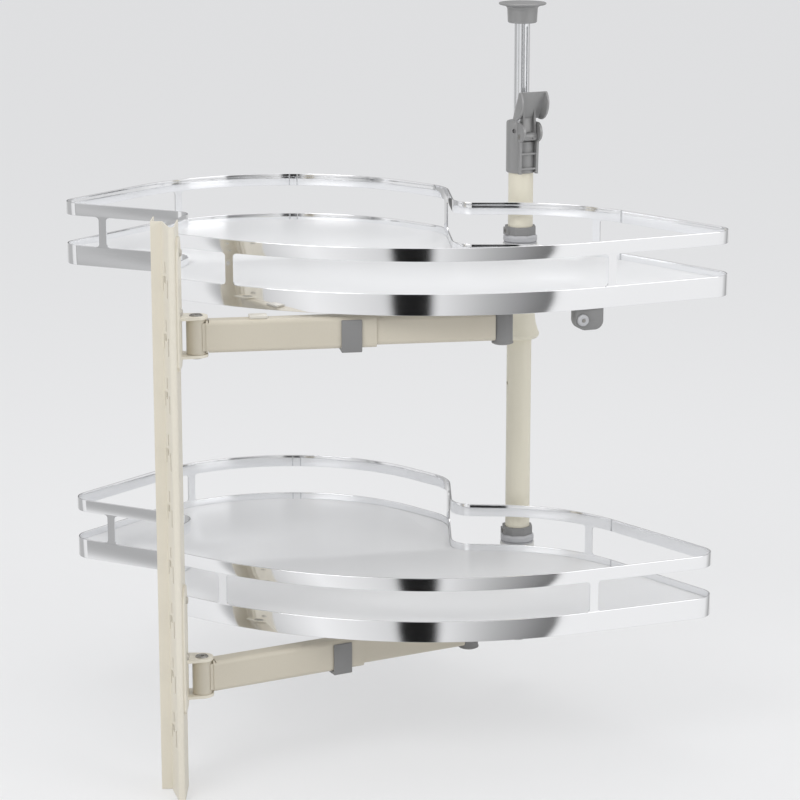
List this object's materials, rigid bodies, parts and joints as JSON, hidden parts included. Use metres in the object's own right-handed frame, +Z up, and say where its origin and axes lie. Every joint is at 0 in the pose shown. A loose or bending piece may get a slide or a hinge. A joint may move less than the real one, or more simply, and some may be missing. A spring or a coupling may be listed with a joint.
{
  "type": "blind corner pull-out organizer",
  "caption": "Swing-out corner storage for a kitchen cabinet: S-shaped trays with chrome galleries turn about a clamped column and are held by guide arms hinged on a side rail.",
  "frame": {"origin": "middle of the side rail's lower pair of wall screws, on the wall face of its flange", "axes": "+Z up, +X from the wall flange towards the column, +Y away from the room into the cabinet"},
  "size_m": [0.773, 0.5838, 0.856],
  "materials": {
    "rail_paint": "satin cream powder coat",
    "arm_paint": "satin cream powder coat",
    "column_paint": "smooth cream powder coat",
    "hub_paint": "pale satin paint",
    "screw_steel": "zinc plated",
    "pin_steel": "turned steel",
    "grey_plastic": "moulded, fine grain",
    "cream_plastic": "smooth moulding",
    "ring_plastic": "smooth moulding",
    "clamp_grey": "cast, satin grey paint",
    "board_white": "white melamine face, gloss",
    "gallery_chrome": "polished strip",
    "rod_chrome": "polished rod"
  },
  "bodies": {
    "fixed_frame": {"side_rail": "rail_paint", "upper_bracket": "rail_paint", "upper_bracket_screws": "screw_steel", "upper_hinge_pin": "pin_steel", "lower_bracket": "rail_paint", "lower_bracket_screws": "screw_steel", "lower_hinge_pin": "pin_steel", "column_tube": "column_paint", "column_foot": "grey_plastic", "upper_support_collar": "column_paint", "upper_bearing_ring": "ring_plastic", "upper_lock_collar": "grey_plastic", "upper_lock_screw": "screw_steel", "lower_support_collar": "column_paint", "lower_bearing_ring": "ring_plastic", "lower_lock_collar": "grey_plastic", "lower_lock_screw": "screw_steel", "clamp_housing": "clamp_grey", "clamp_lever_pin": "pin_steel"},
    "upper_tray": {"upper_hub_carrier": "hub_paint", "upper_board": "board_white", "upper_gallery": "gallery_chrome", "upper_carrier_screws": "screw_steel", "catch_bracket": "grey_plastic", "catch_axle": "pin_steel"},
    "lower_tray": {"lower_hub_carrier": "hub_paint", "lower_board": "board_white", "lower_gallery": "gallery_chrome", "lower_carrier_screws": "screw_steel"},
    "upper_arm": {"upper_arm_tube": "arm_paint", "upper_arm_extension": "arm_paint", "upper_arm_clip": "grey_plastic", "upper_glide_pad": "cream_plastic", "upper_arm_end": "grey_plastic"},
    "lower_arm": {"lower_arm_tube": "arm_paint", "lower_arm_extension": "arm_paint", "lower_arm_clip": "grey_plastic", "lower_arm_end": "grey_plastic"},
    "clamp_lever": {"clamp_lever": "clamp_grey"},
    "brace": {"brace_rod": "rod_chrome", "ceiling_foot": "clamp_grey"},
    "catch_roller": {"catch_roller": "ring_plastic"}
  },
  "joints": [
    {"name": "upper_tray_turn", "type": "hinge", "parent": "fixed_frame", "child": "upper_tray", "pos_m": [0.415, 0.322, 0.48], "axis": [0, 0, -1], "range_deg": [0, 75]},
    {"name": "upper_arm_turn", "type": "hinge", "parent": "fixed_frame", "child": "upper_arm", "pos_m": [0.0467, -0.004, 0.475], "axis": [0, 0, 1], "range_deg": [0, 68]},
    {"name": "lower_tray_turn", "type": "hinge", "parent": "fixed_frame", "child": "lower_tray", "pos_m": [0.415, 0.322, 0.103], "axis": [0, 0, -1], "range_deg": [-3, 72]},
    {"name": "lower_arm_turn", "type": "hinge", "parent": "fixed_frame", "child": "lower_arm", "pos_m": [0.0467, -0.004, 0.083], "axis": [0, 0, 1], "range_deg": [-2, 48]},
    {"name": "clamp_lever_turn", "type": "hinge", "parent": "fixed_frame", "child": "clamp_lever", "pos_m": [0.42273, 0.30464, 0.65], "axis": [0.9135, 0.4067, 0], "range_deg": [0, 110]},
    {"name": "brace_slide", "type": "slide", "parent": "fixed_frame", "child": "brace", "axis": [0, 0, 1], "range_m": [-0.07, 0.05]},
    {"name": "catch_roller_turn", "type": "hinge", "parent": "upper_tray", "child": "catch_roller", "pos_m": [0.47162, 0.02947, 0.485], "axis": [0.342, -0.9397, 0], "continuous": true}
  ],
  "couplings": [
    {"joint": "upper_arm_turn", "follows": "upper_tray_turn", "ratio": 0.9},
    {"joint": "lower_arm_turn", "follows": "lower_tray_turn", "ratio": 0.66}
  ]
}
